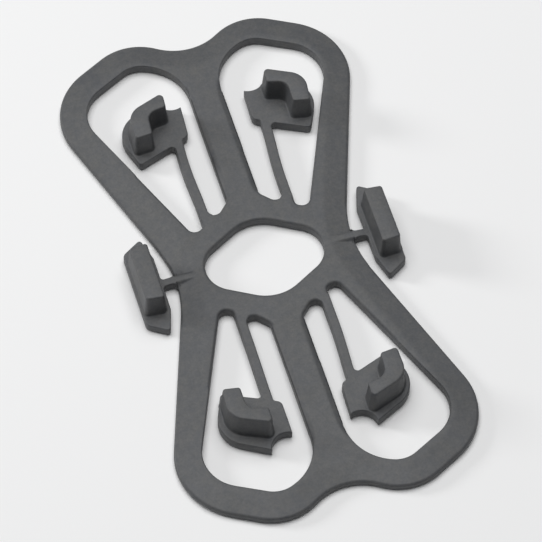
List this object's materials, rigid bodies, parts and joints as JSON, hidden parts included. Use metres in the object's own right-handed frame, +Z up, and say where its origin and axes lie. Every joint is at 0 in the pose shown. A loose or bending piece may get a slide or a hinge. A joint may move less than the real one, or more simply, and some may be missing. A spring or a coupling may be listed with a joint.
{
  "type": "phone mount band",
  "caption": "Flat elastomer phone-mount band with an oval hub, looped ends folding over a phone's corners, V-shaped corner grips on spokes and side clips on necks.",
  "frame": {"origin": "centre of the oval opening, on the flat underside", "axes": "+Y along the phone's length, +X across it, +Z up towards the phone"},
  "size_m": [0.0896, 0.1686, 0.0121],
  "materials": {
    "elastomer": "matte"
  },
  "bodies": {
    "base": {"hub": "elastomer", "upper_spine": "elastomer", "lower_spine": "elastomer", "upper_bridge": "elastomer", "lower_bridge": "elastomer", "upper_right_spoke": "elastomer", "upper_left_spoke": "elastomer", "lower_right_spoke": "elastomer", "lower_left_spoke": "elastomer", "right_neck": "elastomer", "left_neck": "elastomer"},
    "upper_right_grip": {"upper_right_plate": "elastomer", "upper_right_wall": "elastomer"},
    "upper_right_loop_body": {"upper_right_loop": "elastomer"},
    "upper_left_grip": {"upper_left_plate": "elastomer", "upper_left_wall": "elastomer"},
    "upper_left_loop_body": {"upper_left_loop": "elastomer"},
    "lower_right_grip": {"lower_right_plate": "elastomer", "lower_right_wall": "elastomer"},
    "lower_right_loop_body": {"lower_right_loop": "elastomer"},
    "lower_left_grip": {"lower_left_plate": "elastomer", "lower_left_wall": "elastomer"},
    "lower_left_loop_body": {"lower_left_loop": "elastomer"},
    "right_clip": {"right_clip_plate": "elastomer", "right_clip_bar": "elastomer"},
    "left_clip": {"left_clip_plate": "elastomer", "left_clip_bar": "elastomer"}
  },
  "joints": [
    {"name": "upper_right_grip_stretch", "type": "slide", "parent": "base", "child": "upper_right_grip", "axis": [0, 1, 0], "range_m": [0, 0.009], "stiffness_N_per_m": 500, "deforming": ["upper_right_spoke"]},
    {"name": "upper_right_loop_fold", "type": "hinge", "parent": "base", "child": "upper_right_loop_body", "pos_m": [0.019, 0.047, 0.0034], "axis": [0.3162, -0.9487, 0], "range_deg": [0, 90], "stiffness_Nm_per_rad": 0.05},
    {"name": "upper_left_grip_stretch", "type": "slide", "parent": "base", "child": "upper_left_grip", "axis": [0, 1, 0], "range_m": [0, 0.009], "stiffness_N_per_m": 500, "deforming": ["upper_left_spoke"]},
    {"name": "upper_left_loop_fold", "type": "hinge", "parent": "base", "child": "upper_left_loop_body", "pos_m": [-0.019, 0.047, 0.0034], "axis": [0.3162, 0.9487, 0], "range_deg": [0, 90], "stiffness_Nm_per_rad": 0.05},
    {"name": "lower_right_grip_stretch", "type": "slide", "parent": "base", "child": "lower_right_grip", "axis": [0, -1, 0], "range_m": [0, 0.009], "stiffness_N_per_m": 500, "deforming": ["lower_right_spoke"]},
    {"name": "lower_right_loop_fold", "type": "hinge", "parent": "base", "child": "lower_right_loop_body", "pos_m": [0.019, -0.047, 0.0034], "axis": [-0.3162, -0.9487, 0], "range_deg": [0, 90], "stiffness_Nm_per_rad": 0.05},
    {"name": "lower_left_grip_stretch", "type": "slide", "parent": "base", "child": "lower_left_grip", "axis": [0, -1, 0], "range_m": [0, 0.009], "stiffness_N_per_m": 500, "deforming": ["lower_left_spoke"]},
    {"name": "lower_left_loop_fold", "type": "hinge", "parent": "base", "child": "lower_left_loop_body", "pos_m": [-0.019, -0.047, 0.0034], "axis": [-0.3162, 0.9487, 0], "range_deg": [0, 90], "stiffness_Nm_per_rad": 0.05},
    {"name": "right_clip_stretch", "type": "slide", "parent": "base", "child": "right_clip", "axis": [1, 0, 0], "range_m": [0, 0.005], "stiffness_N_per_m": 2000, "deforming": ["right_neck"]},
    {"name": "left_clip_stretch", "type": "slide", "parent": "base", "child": "left_clip", "axis": [-1, 0, 0], "range_m": [0, 0.005], "stiffness_N_per_m": 2000, "deforming": ["left_neck"]}
  ]
}
